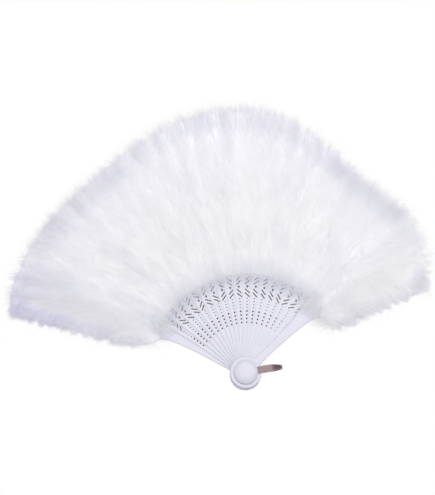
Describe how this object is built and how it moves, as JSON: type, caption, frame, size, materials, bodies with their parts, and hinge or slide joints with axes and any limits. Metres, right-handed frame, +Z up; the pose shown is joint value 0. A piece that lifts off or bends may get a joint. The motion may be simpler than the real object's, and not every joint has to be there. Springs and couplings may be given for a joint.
{
  "type": "feather fan",
  "caption": "Folding hand fan of pierced plastic sticks and plain guards on one rivet, each blade carrying a white marabou plume, with a swinging metal bail at the pivot.",
  "frame": {"origin": "on the table under the pivot: centre of the rivet's flat rear head, with the pivot along Z", "axes": "+Z up from the table along the pivot, towards the front guard; +Y along the middle of the open fan, from the pivot to the plumes; +X to the right, towards the front guard"},
  "size_m": [0.407, 0.2856, 0.0386],
  "materials": {
    "stick_plastic": "satin",
    "nickel": "polished",
    "marabou": "matte",
    "satin_ribbon": "satin"
  },
  "bodies": {
    "rear_blade": {"rear_guard": "stick_plastic", "plume_rear_guard": "marabou", "link_ribbon": "satin_ribbon", "rivet": "stick_plastic"},
    "blade_01": {"stick_01": "stick_plastic", "plume_stick_01": "marabou"},
    "blade_02": {"stick_02": "stick_plastic", "plume_stick_02": "marabou"},
    "blade_03": {"stick_03": "stick_plastic", "plume_stick_03": "marabou"},
    "blade_04": {"stick_04": "stick_plastic", "plume_stick_04": "marabou"},
    "blade_05": {"stick_05": "stick_plastic", "plume_stick_05": "marabou"},
    "blade_06": {"stick_06": "stick_plastic", "plume_stick_06": "marabou"},
    "blade_07": {"stick_07": "stick_plastic", "plume_stick_07": "marabou"},
    "blade_08": {"stick_08": "stick_plastic", "plume_stick_08": "marabou"},
    "blade_09": {"stick_09": "stick_plastic", "plume_stick_09": "marabou"},
    "blade_10": {"stick_10": "stick_plastic", "plume_stick_10": "marabou"},
    "blade_11": {"stick_11": "stick_plastic", "plume_stick_11": "marabou"},
    "blade_12": {"stick_12": "stick_plastic", "plume_stick_12": "marabou"},
    "blade_13": {"stick_13": "stick_plastic", "plume_stick_13": "marabou"},
    "blade_14": {"stick_14": "stick_plastic", "plume_stick_14": "marabou"},
    "blade_15": {"stick_15": "stick_plastic", "plume_stick_15": "marabou"},
    "blade_16": {"stick_16": "stick_plastic", "plume_stick_16": "marabou"},
    "blade_17": {"stick_17": "stick_plastic", "plume_stick_17": "marabou"},
    "blade_18": {"stick_18": "stick_plastic", "plume_stick_18": "marabou"},
    "front_blade": {"front_guard": "stick_plastic", "plume_front_guard": "marabou"},
    "bail_loop": {"bail": "nickel"}
  },
  "joints": [
    {"name": "fan_fold", "type": "hinge", "parent": "rear_blade", "child": "front_blade", "pos_m": [0, 0, 0.014], "axis": [0, 0, 1], "range_deg": [0, 106.78], "deforming": ["plume_rear_guard", "plume_stick_01", "plume_stick_02", "plume_stick_03", "plume_stick_04", "plume_stick_05", "plume_stick_06", "plume_stick_07", "plume_stick_08", "plume_stick_09", "plume_stick_10", "plume_stick_11", "plume_stick_12", "plume_stick_13", "plume_stick_14", "plume_stick_15", "plume_stick_16", "plume_stick_17", "plume_stick_18", "plume_front_guard", "link_ribbon"]},
    {"name": "blade_01_turn", "type": "hinge", "parent": "rear_blade", "child": "blade_01", "pos_m": [0, 0, 0.014], "axis": [0, 0, 1], "range_deg": [0, 5.62]},
    {"name": "blade_02_turn", "type": "hinge", "parent": "rear_blade", "child": "blade_02", "pos_m": [0, 0, 0.014], "axis": [0, 0, 1], "range_deg": [0, 11.24]},
    {"name": "blade_03_turn", "type": "hinge", "parent": "rear_blade", "child": "blade_03", "pos_m": [0, 0, 0.014], "axis": [0, 0, 1], "range_deg": [0, 16.86]},
    {"name": "blade_04_turn", "type": "hinge", "parent": "rear_blade", "child": "blade_04", "pos_m": [0, 0, 0.014], "axis": [0, 0, 1], "range_deg": [0, 22.48]},
    {"name": "blade_05_turn", "type": "hinge", "parent": "rear_blade", "child": "blade_05", "pos_m": [0, 0, 0.014], "axis": [0, 0, 1], "range_deg": [0, 28.1]},
    {"name": "blade_06_turn", "type": "hinge", "parent": "rear_blade", "child": "blade_06", "pos_m": [0, 0, 0.014], "axis": [0, 0, 1], "range_deg": [0, 33.72]},
    {"name": "blade_07_turn", "type": "hinge", "parent": "rear_blade", "child": "blade_07", "pos_m": [0, 0, 0.014], "axis": [0, 0, 1], "range_deg": [0, 39.34]},
    {"name": "blade_08_turn", "type": "hinge", "parent": "rear_blade", "child": "blade_08", "pos_m": [0, 0, 0.014], "axis": [0, 0, 1], "range_deg": [0, 44.96]},
    {"name": "blade_09_turn", "type": "hinge", "parent": "rear_blade", "child": "blade_09", "pos_m": [0, 0, 0.014], "axis": [0, 0, 1], "range_deg": [0, 50.58]},
    {"name": "blade_10_turn", "type": "hinge", "parent": "rear_blade", "child": "blade_10", "pos_m": [0, 0, 0.014], "axis": [0, 0, 1], "range_deg": [0, 56.2]},
    {"name": "blade_11_turn", "type": "hinge", "parent": "rear_blade", "child": "blade_11", "pos_m": [0, 0, 0.014], "axis": [0, 0, 1], "range_deg": [0, 61.82]},
    {"name": "blade_12_turn", "type": "hinge", "parent": "rear_blade", "child": "blade_12", "pos_m": [0, 0, 0.014], "axis": [0, 0, 1], "range_deg": [0, 67.44]},
    {"name": "blade_13_turn", "type": "hinge", "parent": "rear_blade", "child": "blade_13", "pos_m": [0, 0, 0.014], "axis": [0, 0, 1], "range_deg": [0, 73.06]},
    {"name": "blade_14_turn", "type": "hinge", "parent": "rear_blade", "child": "blade_14", "pos_m": [0, 0, 0.014], "axis": [0, 0, 1], "range_deg": [0, 78.68]},
    {"name": "blade_15_turn", "type": "hinge", "parent": "rear_blade", "child": "blade_15", "pos_m": [0, 0, 0.014], "axis": [0, 0, 1], "range_deg": [0, 84.3]},
    {"name": "blade_16_turn", "type": "hinge", "parent": "rear_blade", "child": "blade_16", "pos_m": [0, 0, 0.014], "axis": [0, 0, 1], "range_deg": [0, 89.92]},
    {"name": "blade_17_turn", "type": "hinge", "parent": "rear_blade", "child": "blade_17", "pos_m": [0, 0, 0.014], "axis": [0, 0, 1], "range_deg": [0, 95.54]},
    {"name": "blade_18_turn", "type": "hinge", "parent": "rear_blade", "child": "blade_18", "pos_m": [0, 0, 0.014], "axis": [0, 0, 1], "range_deg": [0, 101.16]},
    {"name": "bail_swing", "type": "hinge", "parent": "rear_blade", "child": "bail_loop", "pos_m": [0, 0, 0.014], "axis": [0, 0, 1], "range_deg": [-194.5, 7.5]}
  ],
  "couplings": [
    {"joint": "blade_01_turn", "follows": "fan_fold", "ratio": 0.052632},
    {"joint": "blade_02_turn", "follows": "fan_fold", "ratio": 0.10526},
    {"joint": "blade_03_turn", "follows": "fan_fold", "ratio": 0.15789},
    {"joint": "blade_04_turn", "follows": "fan_fold", "ratio": 0.21053},
    {"joint": "blade_05_turn", "follows": "fan_fold", "ratio": 0.26316},
    {"joint": "blade_06_turn", "follows": "fan_fold", "ratio": 0.31579},
    {"joint": "blade_07_turn", "follows": "fan_fold", "ratio": 0.36842},
    {"joint": "blade_08_turn", "follows": "fan_fold", "ratio": 0.42105},
    {"joint": "blade_09_turn", "follows": "fan_fold", "ratio": 0.47368},
    {"joint": "blade_10_turn", "follows": "fan_fold", "ratio": 0.52632},
    {"joint": "blade_11_turn", "follows": "fan_fold", "ratio": 0.57895},
    {"joint": "blade_12_turn", "follows": "fan_fold", "ratio": 0.63158},
    {"joint": "blade_13_turn", "follows": "fan_fold", "ratio": 0.68421},
    {"joint": "blade_14_turn", "follows": "fan_fold", "ratio": 0.73684},
    {"joint": "blade_15_turn", "follows": "fan_fold", "ratio": 0.78947},
    {"joint": "blade_16_turn", "follows": "fan_fold", "ratio": 0.84211},
    {"joint": "blade_17_turn", "follows": "fan_fold", "ratio": 0.89474},
    {"joint": "blade_18_turn", "follows": "fan_fold", "ratio": 0.94737}
  ]
}
